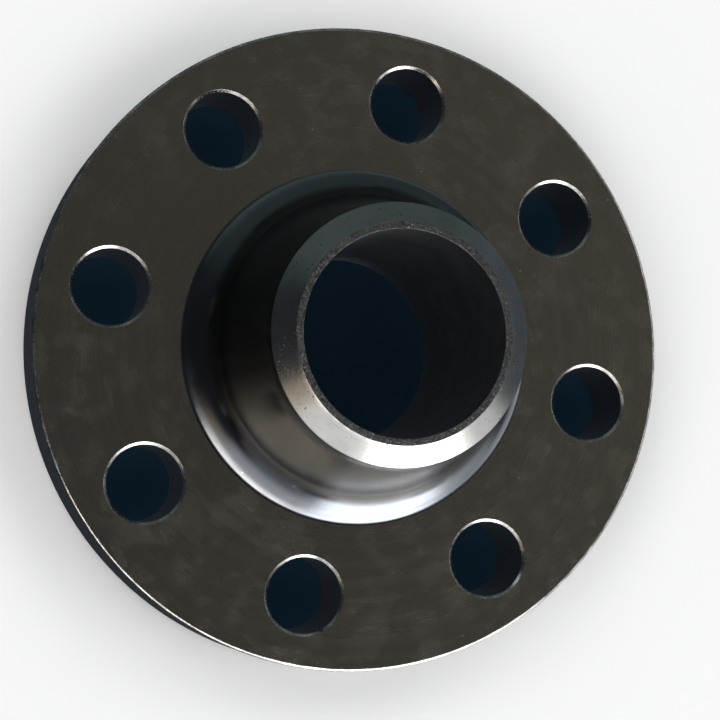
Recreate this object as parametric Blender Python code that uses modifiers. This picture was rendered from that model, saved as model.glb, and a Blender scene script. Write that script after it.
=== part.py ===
"""Weld neck flange, 2 1/2 inch (DN 65), pressure class 300, raised face.

One machined forging.  The origin is the centre of the raised sealing face,
+Z runs along the bore towards the weld end, and the flange lies on its
raised face.  Units are metres.
"""

import bpy
import bmesh
import numpy as np
from math import cos, sin, tan, pi, radians, atan2
from mathutils import Matrix

# ---------------------------------------------------------------- dimensions
MM = 0.001

FLANGE_DIAMETER = 190.5 * MM        # outside of the ring
FLANGE_THICKNESS = 25.4 * MM        # ring, raised face included
RAISED_FACE_DIAMETER = 104.8 * MM
RAISED_FACE_HEIGHT = 1.6 * MM
OVERALL_LENGTH = 76.2 * MM          # raised face to weld end

BOLT_CIRCLE_DIAMETER = 149.2 * MM
BOLT_HOLE_DIAMETER = 22.2 * MM
BOLT_HOLE_COUNT = 8                 # straddling the centrelines

WELD_END_DIAMETER = 73.0 * MM       # outside of the matching pipe
BORE_DIAMETER = 57.0 * MM           # inside of the matching pipe, wall 8 mm
WELD_BEVEL_ANGLE = radians(37.5)    # from the plane of the end
WELD_LAND = 2.0 * MM                # flat left at the root of the bevel

NECK_STRAIGHT = 5.0 * MM            # parallel neck below the bevel
HUB_ROOT_DIAMETER = 104.4 * MM      # where the hub's fillet runs out on the ring
HUB_FILLET_RADIUS = 15.0 * MM       # hub into ring
FILLET_RUNOUT = radians(22.0)       # slope left where the fillet meets the ring
NECK_BLEND_RADIUS = 40.0 * MM       # taper into parallel neck

RIM_CHAMFER = 0.8 * MM              # ring's outer edges
FACE_CHAMFER = 0.4 * MM             # raised face's outer edge
HOLE_CHAMFER = 0.75 * MM            # both ends of each bolt hole

TURN_STEPS = 96                     # facets round the axis
HOLE_STEPS = 32
FILLET_STEPS = 7
BLEND_STEPS = 3


# ------------------------------------------------------------------- helpers
def clear_scene():
    for ob in list(bpy.data.objects):
        bpy.data.objects.remove(ob, do_unlink=True)


def collection(name):
    col = bpy.data.collections.get(name)
    if col is None:
        col = bpy.data.collections.new(name)
        bpy.context.scene.collection.children.link(col)
    return col


def steel_black(name):
    mat = bpy.data.materials.new(name)
    mat.use_nodes = True
    bsdf = mat.node_tree.nodes["Principled BSDF"]
    bsdf.inputs["Base Color"].default_value = (0.040, 0.037, 0.031, 1.0)
    bsdf.inputs["Metallic"].default_value = 0.85
    bsdf.inputs["Roughness"].default_value = 0.32
    mat.diffuse_color = (0.12, 0.115, 0.10, 1.0)
    return mat


def corner_blend(before, corner, after, radius, steps):
    """Points of an arc of the given radius, tangent to both runs at a corner."""
    p0, p1, p2 = (np.array(p, dtype=float) for p in (before, corner, after))
    u = (p0 - p1) / np.linalg.norm(p0 - p1)
    v = (p2 - p1) / np.linalg.norm(p2 - p1)
    half = np.arccos(np.clip(np.dot(u, v), -1.0, 1.0)) / 2.0
    run = radius / tan(half)
    start, end = p1 + u * run, p1 + v * run
    bis = (u + v) / np.linalg.norm(u + v)
    centre = p1 + bis * (radius / sin(half))
    a0 = atan2(*(start - centre)[::-1])
    a1 = atan2(*(end - centre)[::-1])
    turn = (a1 - a0 + pi) % (2.0 * pi) - pi
    return [tuple(centre + radius * np.array((cos(a0 + turn * k / steps),
                                              sin(a0 + turn * k / steps))))
            for k in range(steps + 1)]


def hub_fillet(top, root, radius, runout, steps):
    """Arc that a straight taper from the point top meets as a tangent, and that
    ends at the point root with the given slope."""
    cr = root[0] + radius * sin(runout)
    cz = root[1] + radius * cos(runout)
    away = np.hypot(top[0] - cr, top[1] - cz)
    first = atan2(top[1] - cz, top[0] - cr) + np.arccos(radius / away)
    last = atan2(-cos(runout), -sin(runout))
    turn = (last - first + pi) % (2.0 * pi) - pi
    return [(cr + radius * cos(first + turn * k / steps),
             cz + radius * sin(first + turn * k / steps))
            for k in range(steps + 1)]


def flange_profile():
    """Closed half-section (radius, height), down the outside, up the bore."""
    r_bore = BORE_DIAMETER / 2
    r_weld = WELD_END_DIAMETER / 2
    r_rim = FLANGE_DIAMETER / 2
    r_face = RAISED_FACE_DIAMETER / 2
    r_root = HUB_ROOT_DIAMETER / 2
    r_land = r_bore + WELD_LAND
    z_end = OVERALL_LENGTH
    z_bevel = z_end - (r_weld - r_land) * tan(WELD_BEVEL_ANGLE)
    z_neck = z_bevel - NECK_STRAIGHT
    z_back = FLANGE_THICKNESS

    neck_corner = (r_weld, z_neck)
    fillet = hub_fillet(neck_corner, (r_root, z_back), HUB_FILLET_RADIUS,
                        FILLET_RUNOUT, FILLET_STEPS)
    pts = [(r_bore, z_end), (r_land, z_end), (r_weld, z_bevel)]
    pts += corner_blend((r_weld, z_bevel), neck_corner, fillet[0],
                        NECK_BLEND_RADIUS, BLEND_STEPS)
    pts += fillet
    pts += [(r_rim - RIM_CHAMFER, z_back),
            (r_rim, z_back - RIM_CHAMFER),
            (r_rim, RAISED_FACE_HEIGHT + RIM_CHAMFER),
            (r_rim - RIM_CHAMFER, RAISED_FACE_HEIGHT),
            (r_face, RAISED_FACE_HEIGHT),
            (r_face, FACE_CHAMFER),
            (r_face - FACE_CHAMFER, 0.0),
            (r_bore, 0.0)]
    return pts


def hole_profile():
    """Half-section of one bolt-hole cutter, flared at both faces."""
    r = BOLT_HOLE_DIAMETER / 2
    c = HOLE_CHAMFER
    over = 2.0 * MM
    top, low = FLANGE_THICKNESS, RAISED_FACE_HEIGHT
    return [(0.0, top + over), (r + c + over, top + over), (r, top - c),
            (r, low + c), (r + c + over, low - over), (0.0, low - over)]


def turned(name, profile, steps, closed, col):
    """A turned body: the profile at +X, swept once round Z by Screw."""
    mesh = bpy.data.meshes.new(name)
    bm = bmesh.new()
    verts = [bm.verts.new((r, 0.0, z)) for r, z in profile]
    for a, b in zip(verts, verts[1:]):
        bm.edges.new((a, b))
    if closed:
        bm.edges.new((verts[-1], verts[0]))
    bm.to_mesh(mesh)
    bm.free()
    ob = bpy.data.objects.new(name, mesh)
    col.objects.link(ob)
    screw = ob.modifiers.new("turn", "SCREW")
    screw.axis = "Z"
    screw.angle = 2.0 * pi
    screw.screw_offset = 0.0
    screw.steps = steps
    screw.render_steps = steps
    screw.use_merge_vertices = True
    screw.merge_threshold = 0.000001
    screw.use_smooth_shade = True
    screw.use_normal_calculate = False
    return ob


def baked(ob):
    """Replace an object's mesh by its evaluated one, modifiers removed."""
    dg = bpy.context.evaluated_depsgraph_get()
    mesh = bpy.data.meshes.new_from_object(ob.evaluated_get(dg))
    ob.modifiers.clear()
    ob.data = mesh
    return ob


# --------------------------------------------------------------------- build
def build():
    clear_scene()
    parts = collection("weld_neck_flange_assembly")
    cutters = collection("cutters")

    flange = turned("weld_neck_flange", flange_profile(), TURN_STEPS, True, parts)
    flange.data.materials.append(steel_black("flange_steel"))

    # One cutter mesh holds the eight holes, each flared at both ends.
    one = turned("bolt_hole", hole_profile(), HOLE_STEPS, False, cutters)
    baked(one)
    bm = bmesh.new()
    for k in range(BOLT_HOLE_COUNT):
        a = 2.0 * pi * (k + 0.5) / BOLT_HOLE_COUNT
        x = BOLT_CIRCLE_DIAMETER / 2 * cos(a)
        y = BOLT_CIRCLE_DIAMETER / 2 * sin(a)
        old = len(bm.verts)
        bm.from_mesh(one.data)
        bm.verts.ensure_lookup_table()
        bmesh.ops.rotate(bm, verts=bm.verts[old:], cent=(0, 0, 0),
                         matrix=Matrix.Rotation(a, 3, "Z"))
        bmesh.ops.translate(bm, verts=bm.verts[old:], vec=(x, y, 0.0))
    holes_mesh = bpy.data.meshes.new("bolt_holes")
    bm.to_mesh(holes_mesh)
    bm.free()
    bpy.data.objects.remove(one, do_unlink=True)
    holes = bpy.data.objects.new("bolt_holes", holes_mesh)
    holes.hide_render = True
    holes.display_type = "WIRE"
    cutters.objects.link(holes)

    cut = flange.modifiers.new("bolt_holes", "BOOLEAN")
    cut.operation = "DIFFERENCE"
    cut.solver = "EXACT"
    cut.object = holes


build()
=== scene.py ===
"""Weld neck flange: the visual model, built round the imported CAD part.

One piece, a finely turned and drilled forging, stands for the CAD node.
Metres, same frame as the CAD: raised face on z = 0, bore along +Z.
"""

import math

import bmesh
import bpy
import numpy as np
from mathutils import Matrix, Vector


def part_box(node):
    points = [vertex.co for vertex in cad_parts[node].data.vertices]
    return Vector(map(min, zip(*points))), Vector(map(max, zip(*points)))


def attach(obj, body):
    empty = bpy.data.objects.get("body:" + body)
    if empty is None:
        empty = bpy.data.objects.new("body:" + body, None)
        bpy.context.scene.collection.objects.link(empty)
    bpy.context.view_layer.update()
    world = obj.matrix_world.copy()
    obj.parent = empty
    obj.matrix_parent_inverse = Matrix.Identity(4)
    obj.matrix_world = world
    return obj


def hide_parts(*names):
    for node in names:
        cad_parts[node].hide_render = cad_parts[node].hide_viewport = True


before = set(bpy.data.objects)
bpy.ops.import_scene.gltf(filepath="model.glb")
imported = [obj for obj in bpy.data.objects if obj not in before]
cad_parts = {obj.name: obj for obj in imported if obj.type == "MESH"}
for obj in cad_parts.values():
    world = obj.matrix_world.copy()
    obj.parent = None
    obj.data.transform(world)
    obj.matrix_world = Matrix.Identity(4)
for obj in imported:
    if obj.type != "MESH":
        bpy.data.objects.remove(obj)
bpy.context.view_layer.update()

NODE = "weld_neck_flange"
box_lo, box_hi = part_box(NODE)

# ------------------------------------------------------------------ sizes, mm
MM = 0.001
R_RIM = (box_hi.x - box_lo.x) / 2 / MM          # 95.25
H_END = (box_hi.z - box_lo.z) / MM              # 76.2
T_RING = 25.4
R_FACE = 52.4
H_FACE = 1.6
R_BOLTS = 74.6
R_HOLE = 11.1
R_WELD = 36.5
R_BORE = 28.5
LAND = 2.0
BEVEL = math.radians(37.5)
NECK = 5.0
R_ROOT = 52.2
FILLET = 15.0
RUNOUT = math.radians(22.0)
BLEND = 40.0
RIM_EDGE = 0.8
HOLE_EDGE = 0.75
GROOVE_PITCH = 0.8
GROOVE_DEPTH = 0.05

STEPS = 384                                     # round the axis, 48 to a hole
HOLES = 8
SECTOR = STEPS // HOLES

# Material slots of the one piece.
FACE, HUB, BEV, LND, BORE, HOLE, RIM, EDGE, SEAL = range(9)


# ------------------------------------------------------------------- geometry
def arc(before, corner, after, radius, n):
    """Arc tangent to both runs at a corner, both tangent points included."""
    p0, p1, p2 = (np.array(p, float) for p in (before, corner, after))
    u = (p0 - p1) / np.linalg.norm(p0 - p1)
    v = (p2 - p1) / np.linalg.norm(p2 - p1)
    half = math.acos(max(-1.0, min(1.0, float(u @ v)))) / 2
    run = radius / math.tan(half)
    a, b = p1 + u * run, p1 + v * run
    c = p1 + (u + v) / np.linalg.norm(u + v) * (radius / math.sin(half))
    t0 = math.atan2(a[1] - c[1], a[0] - c[0])
    t1 = math.atan2(b[1] - c[1], b[0] - c[0])
    turn = (t1 - t0 + math.pi) % (2 * math.pi) - math.pi
    return [tuple(c + radius * np.array((math.cos(t0 + turn * k / n),
                                         math.sin(t0 + turn * k / n))))
            for k in range(n + 1)]


def hub_fillet(top, root, radius, runout, n):
    """Arc that a straight taper from top meets as a tangent, ending at root."""
    cr = root[0] + radius * math.sin(runout)
    cz = root[1] + radius * math.cos(runout)
    away = math.hypot(top[0] - cr, top[1] - cz)
    first = math.atan2(top[1] - cz, top[0] - cr) + math.acos(radius / away)
    last = math.atan2(-math.cos(runout), -math.sin(runout))
    turn = (last - first + math.pi) % (2 * math.pi) - math.pi
    return [(cr + radius * math.cos(first + turn * k / n),
             cz + radius * math.sin(first + turn * k / n)) for k in range(n + 1)]


def run(a, b, n):
    """n equal steps from a to b, without a and b themselves."""
    a, b = np.array(a, float), np.array(b, float)
    return [tuple(a + (b - a) * k / n) for k in range(1, n)]


class Build:
    """Vertices, faces and material numbers, gathered patch by patch."""

    def __init__(self):
        self.v, self.f, self.m = [], [], []

    def grid(self, pts, mats, wrap=False):
        """pts[i][j] is a point; mats[i] is the material between rows i and i+1."""
        rows, cols = len(pts), len(pts[0])
        base = len(self.v)
        for row in pts:
            self.v.extend(row)
        for i in range(rows - 1):
            for j in range(cols if wrap else cols - 1):
                k = (j + 1) % cols
                self.f.append((base + i * cols + j, base + i * cols + k,
                               base + (i + 1) * cols + k, base + (i + 1) * cols + j))
                self.m.append(mats[i])

    def lathe(self, profile, mats):
        ang = [2 * math.pi * j / STEPS for j in range(STEPS)]
        self.grid([[(r * math.cos(t), r * math.sin(t), z) for t in ang]
                   for r, z in profile], mats, wrap=True)


def sector_loop(k, r_in, r_out, cross):
    """Closed outline of one hole's 45 degree sector, anticlockwise."""
    def at(r, j):
        t = 2 * math.pi * (k * SECTOR + j) / STEPS
        return (r * math.cos(t), r * math.sin(t))
    radii = [r_in + (r_out - r_in) * i / cross for i in range(cross + 1)]
    loop = [at(r_out, j) for j in range(SECTOR)]
    loop += [at(r, SECTOR) for r in reversed(radii[1:])]
    loop += [at(r_in, j) for j in range(SECTOR, 0, -1)]
    loop += [at(r, 0) for r in radii[:-1]]
    return loop


def ring_and_holes(b, r_in_top, r_out_top, r_in_low, r_out_low):
    """The ring's two flat faces with eight holes through them, as clean quads."""
    cross = 30
    ease = [0.0, 0.012, 0.04, 0.10, 0.20, 0.34, 0.52, 0.75, 1.0]
    for k in range(HOLES):
        a = 2 * math.pi * (k + 0.5) / HOLES
        cx, cy = R_BOLTS * math.cos(a), R_BOLTS * math.sin(a)
        top = sector_loop(k, r_in_top, r_out_top, cross)
        low = sector_loop(k, r_in_low, r_out_low, cross)
        n = len(top)
        # Hole directions: even spacing, pulled part of the way to the outline's.
        d0 = [math.atan2(y - cy, x - cx) for x, y in top]
        d = np.unwrap(np.array(d0))
        even = d[0] + np.sign(d[n // 2] - d[0]) * 2 * math.pi * np.arange(n) / n
        off = np.mean(d - even)
        t = 0.55 * d + 0.45 * (even + off)

        def circle(r, z):
            return [(cx + r * math.cos(q), cy + r * math.sin(q), z) for q in t]

        # Wall, with a flat edge break at each face.
        c, d = HOLE_EDGE, HOLE_EDGE * 0.88
        prof = (arc((R_HOLE + c + 1, T_RING), (R_HOLE + c, T_RING),
                    (R_HOLE, T_RING - d), 0.16, 3)
                + arc((R_HOLE + c, T_RING), (R_HOLE, T_RING - d), (R_HOLE, 0), 0.16, 3))
        for outline, z in ((top, T_RING), (low, H_FACE)):
            inner = circle(prof[0][0], z)
            rows = []
            for e in ease:
                rows.append([(p[0] + (q[0] - p[0]) * e, p[1] + (q[1] - p[1]) * e, z)
                             for p, q in zip(inner, outline)])
            b.grid(rows, [FACE] * (len(rows) - 1), wrap=True)
        n_a = len(prof) - 1
        low_prof = [(r, H_FACE + (T_RING - z)) for r, z in reversed(prof)]
        wall = run(prof[-1], low_prof[0], 14)
        full = prof + wall + low_prof
        mats = [EDGE] * n_a + [HOLE] * (len(wall) + 1) + [EDGE] * n_a
        b.grid([circle(r, z) for r, z in full], mats, wrap=True)


def outer_profile():
    """From the bore's top edge, over the land, bevel, hub and fillet, to the face."""
    r_land = R_BORE + LAND
    z_bev = H_END - (R_WELD - r_land) * math.tan(BEVEL)
    z_neck = z_bev - NECK
    pts, mats = [], []

    def add(points, mat):
        for p in points:
            if pts:
                mats.append(mat)
            pts.append(p)

    add(arc((R_BORE, 0), (R_BORE, H_END), (r_land, H_END), 0.18, 4), LND)
    add(run((R_BORE + 0.18, H_END), (r_land - 0.06, H_END), 7), LND)
    add(arc((R_BORE, H_END), (r_land, H_END), (R_WELD, z_bev), 0.16, 3), LND)
    e = arc((r_land, H_END), (R_WELD, z_bev), (R_WELD, z_neck), 0.22, 4)
    add(run(pts[-1], e[0], 16), BEV)
    add(e, BEV)
    fil = hub_fillet((R_WELD, z_neck), (R_ROOT, T_RING), FILLET, RUNOUT, 30)
    nb = arc((R_WELD, z_bev), (R_WELD, z_neck), fil[0], BLEND, 8)
    add(run(e[-1], nb[0], 3), HUB)
    add(nb, HUB)
    add(run(nb[-1], fil[0], 30), HUB)
    add(fil[:-3], HUB)
    # The run-out meets the ring in a soft inside corner.
    tip = arc(fil[-4], fil[-1], (R_RIM, T_RING), 2.6, 6)
    add(tip, HUB)
    r_in = tip[-1][0] + 0.6
    add([(tip[-1][0] + 0.2, T_RING), (r_in, T_RING)], FACE)
    return pts, mats, r_in


def rim_profile():
    """From the ring's top face, round the rim, to its underside."""
    c = RIM_EDGE
    top = [(R_RIM - c * (1 - math.sin(q)), T_RING - c * (1 - math.cos(q)))
           for q in (math.pi / 2 * i / 6 for i in range(7))]
    low = [(r, H_FACE + (T_RING - z)) for r, z in reversed(top)]
    pts = [(R_RIM - c - 0.6, T_RING), (R_RIM - c - 0.2, T_RING)] + top
    mats = [FACE, FACE] + [EDGE] * 6
    wall = run(top[-1], low[0], 22)
    pts += wall + low
    mats += [RIM] * (len(wall) + 1) + [EDGE] * 6
    pts += [(R_RIM - c - 0.2, H_FACE), (R_RIM - c - 0.6, H_FACE)]
    mats += [FACE, FACE]
    return pts, mats


def seal_profile():
    """From the ring's underside, over the raised face's grooves, up the bore."""
    r_out = R_FACE
    pts = [(r_out + 0.9, H_FACE), (r_out + 0.35, H_FACE)]
    mats = [FACE]
    root = arc((r_out + 1, H_FACE), (r_out, H_FACE), (r_out, 0), 0.25, 3)
    lip = arc((r_out, H_FACE), (r_out, 0), (0, 0), 0.35, 5)
    pts += root + lip
    mats += [FACE] * len(root) + [RIM] + [EDGE] * (len(lip) - 1)
    r_a, r_b = r_out - 1.2, R_BORE + 1.2
    n = int(round((r_a - r_b) / GROOVE_PITCH))
    p = (r_a - r_b) / n
    pts.append((r_a, 0.0)); mats.append(SEAL)
    for i in range(n):
        # A round-nosed tool leaves shallow valleys with narrow crests.
        for q, h in ((0.22, 0.72), (0.5, 1.0), (0.78, 0.72), (1.0, 0.0)):
            pts.append((r_a - p * (i + q), GROOVE_DEPTH * h)); mats.append(SEAL)
    e = arc((r_b, 0), (R_BORE, 0), (R_BORE, H_END), 0.5, 5)
    pts += e
    mats += [SEAL] + [EDGE] * (len(e) - 1)
    top = (R_BORE, H_END - 0.18)
    wall = run(e[-1], top, 36)
    pts += wall + [top]
    mats += [BORE] * (len(wall) + 1)
    return pts, mats


def noise3(p, seed):
    """Smooth value noise in -1..1 at points p (n by 3), made from a fixed seed."""
    i = np.floor(p).astype(np.int64)
    f = p - i
    f = f * f * (3 - 2 * f)
    out = np.zeros(len(p))
    for dx in (0, 1):
        for dy in (0, 1):
            for dz in (0, 1):
                h = ((i[:, 0] + dx) * 374761393 + (i[:, 1] + dy) * 668265263
                     + (i[:, 2] + dz) * 2147483647 + seed * 1274126177) & 0xFFFFFFFF
                h = (h ^ (h >> 13)) * 1274126177 & 0xFFFFFFFF
                h = (h ^ (h >> 16)) & 0xFFFFFFFF
                w = (np.where(dx, f[:, 0], 1 - f[:, 0])
                     * np.where(dy, f[:, 1], 1 - f[:, 1])
                     * np.where(dz, f[:, 2], 1 - f[:, 2]))
                out += w * (h / 0xFFFFFFFF * 2 - 1)
    return out


def smooth(x, a, b):
    t = np.clip((x - a) / (b - a), 0, 1)
    return t * t * (3 - 2 * t)


def wear(co):
    """Small real unevenness, in mm, that never leaves the turned envelope."""
    r = np.hypot(co[:, 0], co[:, 1])
    z = co[:, 2]
    out = co.copy()
    radial = np.stack([co[:, 0] / r, co[:, 1] / r, np.zeros(len(r))], 1)

    # Weld end: land and its edges are left slightly ragged by the cut.
    land = smooth(z, H_END - 0.5, H_END - 0.05) * (r < R_BORE + LAND + 0.7)
    g = 0.6 * noise3(co * 1.1, 3) + 0.4 * noise3(co * 2.3, 4)
    out[:, 2] -= land * (0.07 + 0.07 * g)
    lip = smooth(z, H_END - 1.2, H_END - 0.1) * (r < R_BORE + 0.4)
    chew = 0.6 * noise3(co * 0.9, 5) + 0.5 * noise3(co * 2.0, 6)
    out += radial * (lip * 0.11 * np.clip(chew + 0.25, 0, 1))[:, None]

    # Dings on the ring's two outer edges and on the bevel's outer edge.
    rng = np.random.RandomState(11)
    edges = ([(R_RIM, T_RING, 1.0)] * 7 + [(R_RIM, H_FACE, 1.0)] * 9
             + [(R_WELD, H_END - (R_WELD - R_BORE - LAND) * math.tan(BEVEL), .5)] * 4
             + [(R_FACE, 0.0, .5)] * 3)
    for er, ez, size in edges:
        t = rng.uniform(0, 2 * math.pi)
        w = rng.uniform(0.7, 1.5) * size
        depth = rng.uniform(0.05, 0.13) * size
        c = np.array([er * math.cos(t), er * math.sin(t), ez])
        d = np.linalg.norm(co - c, axis=1)
        push = depth * np.exp(-(d / w) ** 2 * 2.2)
        toward = np.array([-math.cos(t), -math.sin(t),
                           -1.0 if ez > 10 else 0.6]) / 1.41
        out += push[:, None] * toward
    return out


def make_flange():
    b = Build()
    outer, m_outer, r_in = outer_profile()
    b.lathe(outer, m_outer)
    rim, m_rim = rim_profile()
    b.lathe(rim, m_rim)
    seal, m_seal = seal_profile()
    b.lathe(seal, m_seal)
    ring_and_holes(b, r_in, R_RIM - RIM_EDGE - 0.6, R_FACE + 0.9,
                   R_RIM - RIM_EDGE - 0.6)

    mesh = bpy.data.meshes.new("forging")
    mesh.from_pydata([(x * MM, y * MM, z * MM) for x, y, z in b.v], [], b.f)
    mesh.polygons.foreach_set("material_index", np.array(b.m, np.int32))
    bm = bmesh.new()
    bm.from_mesh(mesh)
    bmesh.ops.remove_doubles(bm, verts=bm.verts, dist=2e-6)
    bmesh.ops.recalc_face_normals(bm, faces=bm.faces)
    bm.to_mesh(mesh)
    bm.free()

    n = len(mesh.vertices)
    co = np.zeros(n * 3, np.float64)
    mesh.vertices.foreach_get("co", co)
    co = wear(co.reshape(-1, 3) / MM) * MM
    mesh.vertices.foreach_set("co", co.astype(np.float32).ravel())
    mesh.update()

    # Normals weighted by face area keep the flats flat beside their round edges.
    mesh.shade_smooth()
    nrm = np.zeros((n, 3))
    for p in mesh.polygons:
        w = p.area
        v = np.array(p.normal) * w
        for i in p.vertices:
            nrm[i] += v
    nrm /= np.maximum(np.linalg.norm(nrm, axis=1), 1e-20)[:, None]
    mesh.normals_split_custom_set_from_vertices(nrm.tolist())

    ob = bpy.data.objects.new("forging", mesh)
    bpy.context.scene.collection.objects.link(ob)
    return ob


# ------------------------------------------------------------------ materials
class Tree:
    """A short hand for building one material's nodes."""

    def __init__(self, name):
        self.mat = bpy.data.materials.new(name)
        self.mat.use_nodes = True
        self.t = self.mat.node_tree
        self.bsdf = self.t.nodes["Principled BSDF"]

    def node(self, kind, **props):
        nd = self.t.nodes.new(kind)
        for k, v in props.items():
            setattr(nd, k, v)
        return nd

    def put(self, sock, value):
        if isinstance(value, bpy.types.NodeSocket):
            self.t.links.new(value, sock)
        else:
            sock.default_value = value

    def math(self, op, a, b=0.0, c=0.0, clamp=False):
        nd = self.node("ShaderNodeMath", operation=op, use_clamp=clamp)
        for s, v in zip(nd.inputs, (a, b, c)):
            self.put(s, v)
        return nd.outputs[0]

    def vmath(self, op, a, b=(0, 0, 0), out="Vector"):
        nd = self.node("ShaderNodeVectorMath", operation=op)
        self.put(nd.inputs[0], a)
        self.put(nd.inputs[1], b)
        return nd.outputs[out]

    def ramp(self, value, lo, hi, a=0.0, b=1.0, smooth=True):
        nd = self.node("ShaderNodeMapRange", clamp=True)
        nd.interpolation_type = "SMOOTHSTEP" if smooth else "LINEAR"
        for name, v in (("Value", value), ("From Min", lo), ("From Max", hi),
                        ("To Min", a), ("To Max", b)):
            self.put(nd.inputs[name], v)
        return nd.outputs["Result"]

    def mix(self, fac, a, b):
        nd = self.node("ShaderNodeMix", data_type="RGBA")
        self.put(nd.inputs["Factor"], fac)
        self.put([s for s in nd.inputs if s.name == "A" and s.type == "RGBA"][0], a)
        self.put([s for s in nd.inputs if s.name == "B" and s.type == "RGBA"][0], b)
        return [s for s in nd.outputs if s.type == "RGBA"][0]

    def noise(self, vec, scale, detail=2.0, rough=0.5, dims="3D", w=None):
        nd = self.node("ShaderNodeTexNoise", noise_dimensions=dims)
        if dims == "1D":
            self.put(nd.inputs["W"], vec)
        else:
            self.put(nd.inputs["Vector"], vec)
            if w is not None:
                self.put(nd.inputs["W"], w)
        nd.inputs["Scale"].default_value = scale
        nd.inputs["Detail"].default_value = detail
        nd.inputs["Roughness"].default_value = rough
        return nd.outputs["Fac"]

    def voronoi(self, vec, scale, feature="F1", rand=1.0):
        nd = self.node("ShaderNodeTexVoronoi", feature=feature)
        self.put(nd.inputs["Vector"], vec)
        nd.inputs["Scale"].default_value = scale
        nd.inputs["Randomness"].default_value = rand
        return nd.outputs["Distance"], nd.outputs["Color"]

    def bump(self, height, dist_mm, strength=1.0, normal=None):
        nd = self.node("ShaderNodeBump")
        nd.inputs["Strength"].default_value = strength
        nd.inputs["Distance"].default_value = dist_mm * MM
        self.put(nd.inputs["Height"], height)
        if normal is not None:
            self.put(nd.inputs["Normal"], normal)
        return nd.outputs["Normal"]

    def place(self):
        """Position in mm, radius from the bore axis, and the path along the cut."""
        tc = self.node("ShaderNodeTexCoord")
        p = self.vmath("SCALE", tc.outputs["Object"])
        p.node.inputs["Scale"].default_value = 1000.0
        sep = self.node("ShaderNodeSeparateXYZ")
        self.put(sep.inputs[0], p)
        x, y, z = sep.outputs
        r = self.math("SQRT", self.math("ADD", self.math("MULTIPLY", x, x),
                                        self.math("MULTIPLY", y, y)))
        s = self.math("SUBTRACT", r, z)
        return p, r, z, s

    def specks(self, p, scale, size, keep):
        """1 inside sparse small spots, 0 elsewhere."""
        d, c = self.voronoi(p, scale)
        sep = self.node("ShaderNodeSeparateColor")
        self.put(sep.inputs[0], c)
        pick = self.math("GREATER_THAN", sep.outputs[0], 1.0 - keep)
        spot = self.ramp(d, size, size * 0.55)
        return self.math("MULTIPLY", spot, pick)

    def scratches(self, p, angle, scale, stretch, width, seed):
        """Fine straight scratches in one direction, broken into short runs."""
        mp = self.node("ShaderNodeMapping")
        self.put(mp.inputs["Vector"], p)
        mp.inputs["Rotation"].default_value = (0.3 * seed, 0.2, angle)
        mp.inputs["Location"].default_value = (seed * 3.1, seed * 7.7, 0)
        mp.inputs["Scale"].default_value = (scale, scale * stretch, scale)
        n = self.noise(mp.outputs[0], 1.0, 1.0, 0.5)
        line = self.ramp(self.math("ABSOLUTE", self.math("SUBTRACT", n, 0.5)),
                         width, 0.0)
        gate = self.ramp(self.noise(p, 0.09 + 0.013 * seed, 1.0), 0.54, 0.62)
        return self.math("MULTIPLY", line, gate)


def finish_material(t, color, rough, normal, metallic=1.0, **fixed):
    t.put(t.bsdf.inputs["Base Color"], color)
    t.put(t.bsdf.inputs["Roughness"], rough)
    t.put(t.bsdf.inputs["Normal"], normal)
    t.bsdf.inputs["Metallic"].default_value = metallic
    for k, v in fixed.items():
        t.bsdf.inputs[k.replace("_", " ")].default_value = v
    return t.mat


def rgb(r, g, b):
    return (r, g, b, 1.0)


def mat_face():
    """Ring faces: faced on the lathe, then darkened and oiled, satin."""
    t = Tree("steel_faced")
    p, r, z, s = t.place()
    broad = t.noise(p, 0.018, 3.0, 0.55)
    blot = t.noise(p, 0.11, 4.0, 0.6)
    band = t.noise(s, 0.35, 2.0, 0.5, "1D")
    feed = t.noise(s, 4.2, 1.0, 0.5, "1D")
    col = t.mix(t.ramp(broad, 0.35, 0.65), rgb(.140, .129, .110), rgb(.147, .135, .113))
    col = t.mix(t.ramp(blot, 0.35, 0.85, 0.0, 0.10), col, rgb(.132, .123, .106))
    col = t.mix(t.ramp(band, 0.35, 0.7, 0.0, 0.22), col, rgb(.156, .144, .122))
    sc = t.math("MAXIMUM", t.scratches(p, 0.5, 0.35, 70, 0.010, 1),
                t.scratches(p, 2.1, 0.28, 90, 0.008, 2))
    dots = t.specks(p, 0.16, 0.055, 0.35)
    col = t.mix(t.math("MULTIPLY", sc, 0.12), col, rgb(.26, .245, .215))
    col = t.mix(t.math("MULTIPLY", dots, 0.85), col, rgb(.62, .60, .56))
    rough = t.ramp(blot, 0.3, 0.75, 0.270, 0.280)
    rough = t.math("ADD", rough, t.math("MULTIPLY", t.math("SUBTRACT", band, 0.5), 0.05))
    rough = t.math("SUBTRACT", rough, t.math("MULTIPLY", sc, 0.02))
    h = t.math("ADD", t.math("MULTIPLY", feed, 0.7), t.math("MULTIPLY", t.noise(p, 2.3, 2.0), 0.5))
    n = t.bump(h, 0.005, 0.6)
    n = t.bump(t.math("ADD", t.math("MULTIPLY", sc, -1.0), t.math("MULTIPLY", dots, -0.8)),
               0.02, 0.8, n)
    return finish_material(t, col, rough, n, 0.97)


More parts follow.
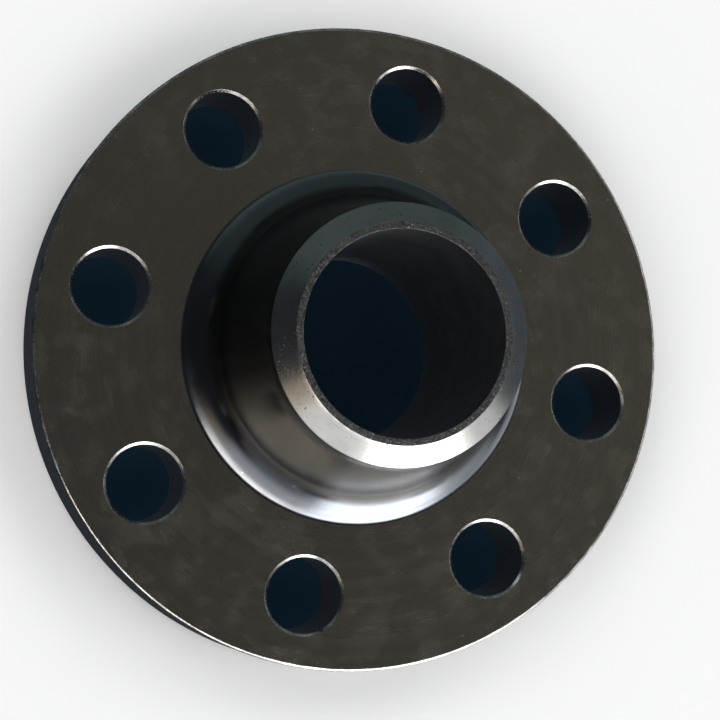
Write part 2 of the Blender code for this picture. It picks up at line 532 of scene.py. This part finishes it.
def mat_hub():
    """Hub and fillet: smooth turned taper under a glossy dark film."""
    t = Tree("steel_hub")
    p, r, z, s = t.place()
    broad = t.noise(p, 0.03, 3.0, 0.55)
    band = t.noise(s, 0.55, 3.0, 0.6, "1D")
    feed = t.noise(s, 3.3, 1.5, 0.5, "1D")
    blot = t.noise(p, 0.22, 3.0, 0.6)
    col = t.mix(t.ramp(broad, 0.35, 0.65), rgb(.103, .109, .118), rgb(.122, .128, .138))
    col = t.mix(t.ramp(band, 0.4, 0.75, 0.0, 0.35), col, rgb(.086, .095, .110))
    dots = t.specks(p, 0.30, 0.06, 0.30)
    col = t.mix(t.math("MULTIPLY", dots, 0.7), col, rgb(.5, .48, .45))
    rough = t.ramp(blot, 0.3, 0.75, 0.20, 0.25)
    rough = t.math("ADD", rough, t.math("MULTIPLY", t.math("SUBTRACT", band, 0.5), 0.08))
    h = t.math("ADD", t.math("MULTIPLY", feed, 0.55), t.math("MULTIPLY", band, 1.2))
    n = t.bump(h, 0.010, 0.55)
    n = t.bump(t.noise(p, 0.45, 2.0), 0.020, 0.35, n)
    n = t.bump(t.math("MULTIPLY", dots, 1.0), 0.03, 0.7, n)
    return finish_material(t, col, rough, n, 1.0)


def mat_bevel():
    """Weld bevel: bright machined cone with feed marks and small pits."""
    t = Tree("steel_bevel")
    p, r, z, s = t.place()
    band = t.noise(s, 1.3, 2.0, 0.6, "1D")
    feed = t.noise(s, 5.0, 1.0, 0.5, "1D")
    blot = t.noise(p, 0.14, 3.0, 0.5)
    fine = t.noise(p, 1.6, 3.0, 0.6)
    col = t.mix(t.ramp(blot, 0.3, 0.7), rgb(.275, .270, .258), rgb(.318, .314, .304))
    col = t.mix(t.ramp(band, 0.35, 0.7, 0.0, 0.3), col, rgb(.235, .230, .220))
    col = t.mix(t.ramp(fine, 0.45, 0.75, 0.0, 0.25), col, rgb(.220, .212, .200))
    pit = t.math("MAXIMUM", t.specks(p, 0.42, 0.17, 0.20),
                 t.math("MAXIMUM", t.specks(p, 0.85, 0.22, 0.20), t.specks(p, 1.7, 0.26, 0.16)))
    col = t.mix(t.math("MULTIPLY", pit, 0.85), col, rgb(.060, .046, .036))
    rough = t.ramp(fine, 0.3, 0.75, 0.22, 0.27)
    rough = t.math("ADD", rough, t.math("MULTIPLY", pit, 0.30))
    n = t.bump(t.math("ADD", t.math("MULTIPLY", feed, 0.8), band), 0.012, 0.7)
    n = t.bump(t.math("MULTIPLY", pit, -1.0), 0.03, 0.6, n)
    return finish_material(t, col, rough, n, 1.0)


def mat_land():
    """Land at the root of the bevel: grainy, as cut."""
    t = Tree("steel_land")
    p, r, z, s = t.place()
    g = t.noise(p, 1.5, 5.0, 0.75)
    g2 = t.noise(p, 0.6, 3.0, 0.6)
    col = t.mix(t.ramp(g, 0.42, 0.66), rgb(.026, .027, .030), rgb(.128, .127, .123))
    col = t.mix(t.ramp(g2, 0.4, 0.7, 0, 0.5), col, rgb(.062, .062, .060))
    spark = t.math("MAXIMUM", t.specks(p, 2.2, 0.20, 0.10), t.specks(p, 1.0, 0.16, 0.16))
    col = t.mix(spark, col, rgb(.60, .59, .56))
    rough = t.ramp(g, 0.3, 0.7, 0.36, 0.58)
    n = t.bump(g, 0.16, 1.0)
    n = t.bump(t.noise(s, 5.0, 1.0, 0.5, "1D"), 0.02, 0.6, n)
    return finish_material(t, col, rough, n, 0.97)


def mat_bore():
    """Bore: bored wall with a dull dark skin."""
    t = Tree("steel_bore")
    p, r, z, s = t.place()
    blot = t.noise(p, 0.10, 4.0, 0.6)
    fine = t.noise(p, 1.4, 3.0, 0.6)
    feed = t.noise(z, 2.4, 1.0, 0.5, "1D")
    col = t.mix(t.ramp(blot, 0.35, 0.7), rgb(.052, .055, .062), rgb(.088, .086, .086))
    col = t.mix(t.ramp(fine, 0.5, 0.8, 0, 0.35), col, rgb(.125, .108, .094))
    rough = t.ramp(fine, 0.3, 0.75, 0.40, 0.55)
    n = t.bump(t.math("ADD", feed, fine), 0.015, 0.7)
    return finish_material(t, col, rough, n, 0.92)


def mat_hole():
    """Bolt-hole walls: drilled, with the drill's rings."""
    t = Tree("steel_drilled")
    p, r, z, s = t.place()
    ring = t.noise(z, 1.9, 2.0, 0.6, "1D")
    fine = t.noise(p, 1.1, 3.0, 0.6)
    col = t.mix(t.ramp(ring, 0.35, 0.7), rgb(.042, .048, .058), rgb(.075, .080, .088))
    rough = t.ramp(fine, 0.3, 0.7, 0.28, 0.42)
    n = t.bump(t.math("ADD", ring, t.math("MULTIPLY", fine, 0.4)), 0.03, 0.7)
    return finish_material(t, col, rough, n, 0.96)


def mat_rim():
    """Ring's rim: turned, cooler and darker than the faces."""
    t = Tree("steel_rim")
    p, r, z, s = t.place()
    feed = t.noise(z, 3.2, 1.5, 0.5, "1D")
    band = t.noise(z, 0.5, 2.0, 0.5, "1D")
    blot = t.noise(p, 0.09, 4.0, 0.6)
    col = t.mix(t.ramp(blot, 0.35, 0.7), rgb(.128, .130, .136), rgb(.152, .151, .150))
    col = t.mix(t.ramp(band, 0.4, 0.7, 0, 0.35), col, rgb(.108, .108, .112))
    sc = t.scratches(p, 1.2, 0.3, 60, 0.012, 4)
    col = t.mix(t.math("MULTIPLY", sc, 0.4), col, rgb(.38, .37, .35))
    rough = t.math("ADD", t.ramp(blot, 0.3, 0.75, 0.27, 0.32),
                   t.math("MULTIPLY", t.math("SUBTRACT", band, 0.5), 0.10))
    n = t.bump(t.math("ADD", feed, t.math("MULTIPLY", band, 0.8)), 0.012, 0.7)
    n = t.bump(sc, -0.02, 0.7, n)
    return finish_material(t, col, rough, n, 0.92)


def mat_edge():
    """Edge breaks: rubbed bright by handling."""
    t = Tree("steel_edge")
    p, r, z, s = t.place()
    worn = t.noise(p, 0.25, 4.0, 0.65)
    fine = t.noise(p, 2.0, 3.0, 0.6)
    col = t.mix(t.ramp(worn, 0.35, 0.65), rgb(.22, .215, .205), rgb(.50, .49, .47))
    rough = t.ramp(fine, 0.3, 0.7, 0.20, 0.34)
    n = t.bump(fine, 0.02, 0.6)
    return finish_material(t, col, rough, n, 1.0)


def mat_seal():
    """Raised face: grooved for the gasket, cleaner metal."""
    t = Tree("steel_seal")
    p, r, z, s = t.place()
    blot = t.noise(p, 0.06, 4.0, 0.6)
    feed = t.noise(r, 4.0, 1.0, 0.5, "1D")
    col = t.mix(t.ramp(blot, 0.35, 0.7), rgb(.30, .29, .275), rgb(.38, .37, .35))
    dots = t.specks(p, 0.3, 0.07, 0.25)
    col = t.mix(t.math("MULTIPLY", dots, 0.7), col, rgb(.12, .085, .06))
    rough = t.ramp(blot, 0.3, 0.75, 0.24, 0.34)
    n = t.bump(feed, 0.008, 0.6)
    return finish_material(t, col, rough, n, 1.0)


# ---------------------------------------------------------------------- build
flange = make_flange()
for make in (mat_face, mat_hub, mat_bevel, mat_land, mat_bore, mat_hole, mat_rim,
             mat_edge, mat_seal):
    flange.data.materials.append(make())
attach(flange, "root")
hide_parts(NODE)


# ---------------------------------------------------------------------- stage
# Directions seen in the camera's picture, laid on the floor plane.
TO_RIGHT = Vector((0.985, -0.170, 0.0))
TO_UP = Vector((0.170, 0.985, 0.0))


def toward(angle, elevation):
    """Unit vector: angle turns anticlockwise in the picture from its right."""
    a, e = math.radians(angle), math.radians(elevation)
    return (TO_RIGHT * math.cos(a) + TO_UP * math.sin(a)) * math.cos(e) \
        + Vector((0, 0, math.sin(e)))


def make_floor():
    """Pale floor; the patch that the flange stands on and hides is painted dark as shade."""
    me = bpy.data.meshes.new("floor")
    bm = bmesh.new()
    bmesh.ops.create_grid(bm, x_segments=8, y_segments=8, size=6.0)
    bm.to_mesh(me)
    bm.free()
    ob = bpy.data.objects.new("floor", me)
    ob.location = (0, 0, box_lo.z - 0.0002)
    bpy.context.scene.collection.objects.link(ob)
    t = Tree("floor_with_painted_shade")
    p, r, z, s = t.place()
    n1 = t.noise(p, 0.003, 3.0)
    col = t.mix(n1, rgb(.80, .80, .80), rgb(.84, .84, .835))
    # Painted shade: a dark navy disc under the flange, fading out between 88 and 93 mm.
    col = t.mix(t.ramp(r, 88.0, 93.0), rgb(.027, .068, .112), col)
    t.put(t.bsdf.inputs["Base Color"], col)
    t.bsdf.inputs["Roughness"].default_value = 0.85
    t.bsdf.inputs["Specular IOR Level"].default_value = 0.0
    me.materials.append(t.mat)
    ob.visible_glossy = False
    return ob


def fill(name, angle, elevation, strength, color):
    """Broad soft light for the floor and for what is matt on the part."""
    li = bpy.data.lights.new(name, "SUN")
    li.angle = math.radians(32)
    li.energy = strength
    li.color = color
    ob = bpy.data.objects.new(name, li)
    ob.rotation_euler = toward(angle, elevation).to_track_quat("Z", "Y").to_euler()
    ob.visible_glossy = False
    bpy.context.scene.collection.objects.link(ob)
    return ob


# Soft panels that the steel reflects: (angle, half width, lowest, highest,
# edge across, edge up, colour, strength), in degrees.
PANELS = [
    (-68, 22, -14, 54, 5, 5, (1.00, 1.00, 1.00), 10.0),     # front, main
    (-34, 11, -10, 40, 6, 4, (0.98, 1.00, 1.00), 1.45),      # front, right part
    (-116, 22, 12, 44, 5, 10, (0.96, 0.98, 1.00), 1.9),       # front, left part
    (-110, 18, -10, 12, 5, 8, (0.90, 0.95, 1.00), 0.6),     # the same, low
    (-120, 25, 42, 55, 8, 5, (1.00, 0.94, 0.85), 9.3),      # the same, top
    (-145, 8, 20, 50, 6, 8, (1.00, 0.80, 0.56), 1.0),       # front left, warm
    (84, 44, 32, 52, 16, 7, (0.72, 1.00, 0.92), 0.36),      # back, high
    (88, 52, -8, 30, 16, 6, (0.74, 1.00, 0.94), 0.13),      # back, low
    (2, 42, -12, 9, 12, 5, (0.72, 0.86, 1.00), 0.14),       # right, low
    (2, 26, 18, 46, 6, 4, (1.00, 1.00, 1.00), 1.8),         # right, high
]
OVERHEAD = (Vector((0.46, 0.18, 1.0)), 30.0, 4.0, (1.00, 0.935, 0.81), 0.215)
AROUND = ((0.66, 0.82, 1.00), 0.055)


def make_world():
    w = bpy.data.worlds.new("studio")
    w.use_nodes = True
    t = Tree.__new__(Tree)
    t.t = w.node_tree
    t.t.nodes.clear()
    tc = t.node("ShaderNodeTexCoord")
    d = t.vmath("NORMALIZE", tc.outputs["Generated"])
    sep = t.node("ShaderNodeSeparateXYZ")
    t.put(sep.inputs[0], d)
    x = t.vmath("DOT_PRODUCT", d, tuple(TO_RIGHT), out="Value")
    y = t.vmath("DOT_PRODUCT", d, tuple(TO_UP), out="Value")
    flat = t.math("SQRT", t.math("ADD", t.math("MULTIPLY", x, x),
                                 t.math("MULTIPLY", y, y)))
    around = t.math("ARCTAN2", y, x)
    up = t.math("ARCTAN2", sep.outputs[2], flat)
    rad = math.radians
    total = tuple(c * AROUND[1] for c in AROUND[0])
    for ang, half, lo, hi, ea, eu, color, power in PANELS:
        off = t.math("ABSOLUTE", t.math("WRAP", t.math("SUBTRACT", around, rad(ang)),
                                        math.pi, -math.pi))
        m = t.ramp(off, rad(half + ea), rad(half - ea))
        m = t.math("MULTIPLY", m, t.ramp(up, rad(lo - eu), rad(lo + eu)))
        m = t.math("MULTIPLY", m, t.ramp(up, rad(hi + eu), rad(hi - eu)))
        c = t.vmath("SCALE", color)
        t.put(c.node.inputs["Scale"], t.math("MULTIPLY", m, power))
        total = t.vmath("ADD", total, c)
    axis, wide, core, color, power = OVERHEAD
    near = t.vmath("DOT_PRODUCT", d, tuple(axis.normalized()), out="Value")
    m = t.ramp(near, math.cos(rad(wide)), math.cos(rad(core)), 0.0, power)
    c = t.vmath("SCALE", color)
    t.put(c.node.inputs["Scale"], m)
    total = t.vmath("ADD", total, c)

    seen = t.node("ShaderNodeBackground")
    t.put(seen.inputs["Color"], total)
    matt = t.node("ShaderNodeBackground")
    matt.inputs["Color"].default_value = (0.97, 0.98, 1.0, 1)
    matt.inputs["Strength"].default_value = 0.58
    pale = t.node("ShaderNodeBackground")
    pale.inputs["Color"].default_value = (0.93, 0.935, 0.94, 1)
    path = t.node("ShaderNodeLightPath")
    mix = t.node("ShaderNodeMixShader")
    t.put(mix.inputs[0], path.outputs["Is Glossy Ray"])
    t.t.links.new(matt.outputs[0], mix.inputs[1])
    t.t.links.new(seen.outputs[0], mix.inputs[2])
    last = t.node("ShaderNodeMixShader")
    t.put(last.inputs[0], path.outputs["Is Camera Ray"])
    t.t.links.new(mix.outputs[0], last.inputs[1])
    t.t.links.new(pale.outputs[0], last.inputs[2])
    out = t.node("ShaderNodeOutputWorld")
    t.t.links.new(last.outputs[0], out.inputs["Surface"])
    bpy.context.scene.world = w


def make_camera():
    cam = bpy.data.cameras.new("camera")
    cam.lens = 98.9
    cam.sensor_width = 36.0
    ob = bpy.data.objects.new("camera", cam)
    bpy.context.scene.collection.objects.link(ob)
    place = Vector((-0.1592, -0.0153, 0.5872))
    target = Vector((0.00745, -0.00357, 0.0))
    back = (place - target).normalized()
    up = Vector((0.1604, 0.9849, 0.0652))
    right = up.cross(back).normalized()
    up = back.cross(right)
    m = Matrix((right, up, back)).transposed().to_4x4()
    m.translation = place
    ob.matrix_world = m
    cam.clip_start, cam.clip_end = 0.01, 20.0
    bpy.context.scene.camera = ob
    return ob


make_camera()
make_floor()
make_world()
for i in range(5):
    fill("fill_%d" % (i + 1), -90 + 72 * i, 46, 0.52, (1.0, 0.995, 0.985))

scene = bpy.context.scene
scene.view_settings.view_transform = "Standard"
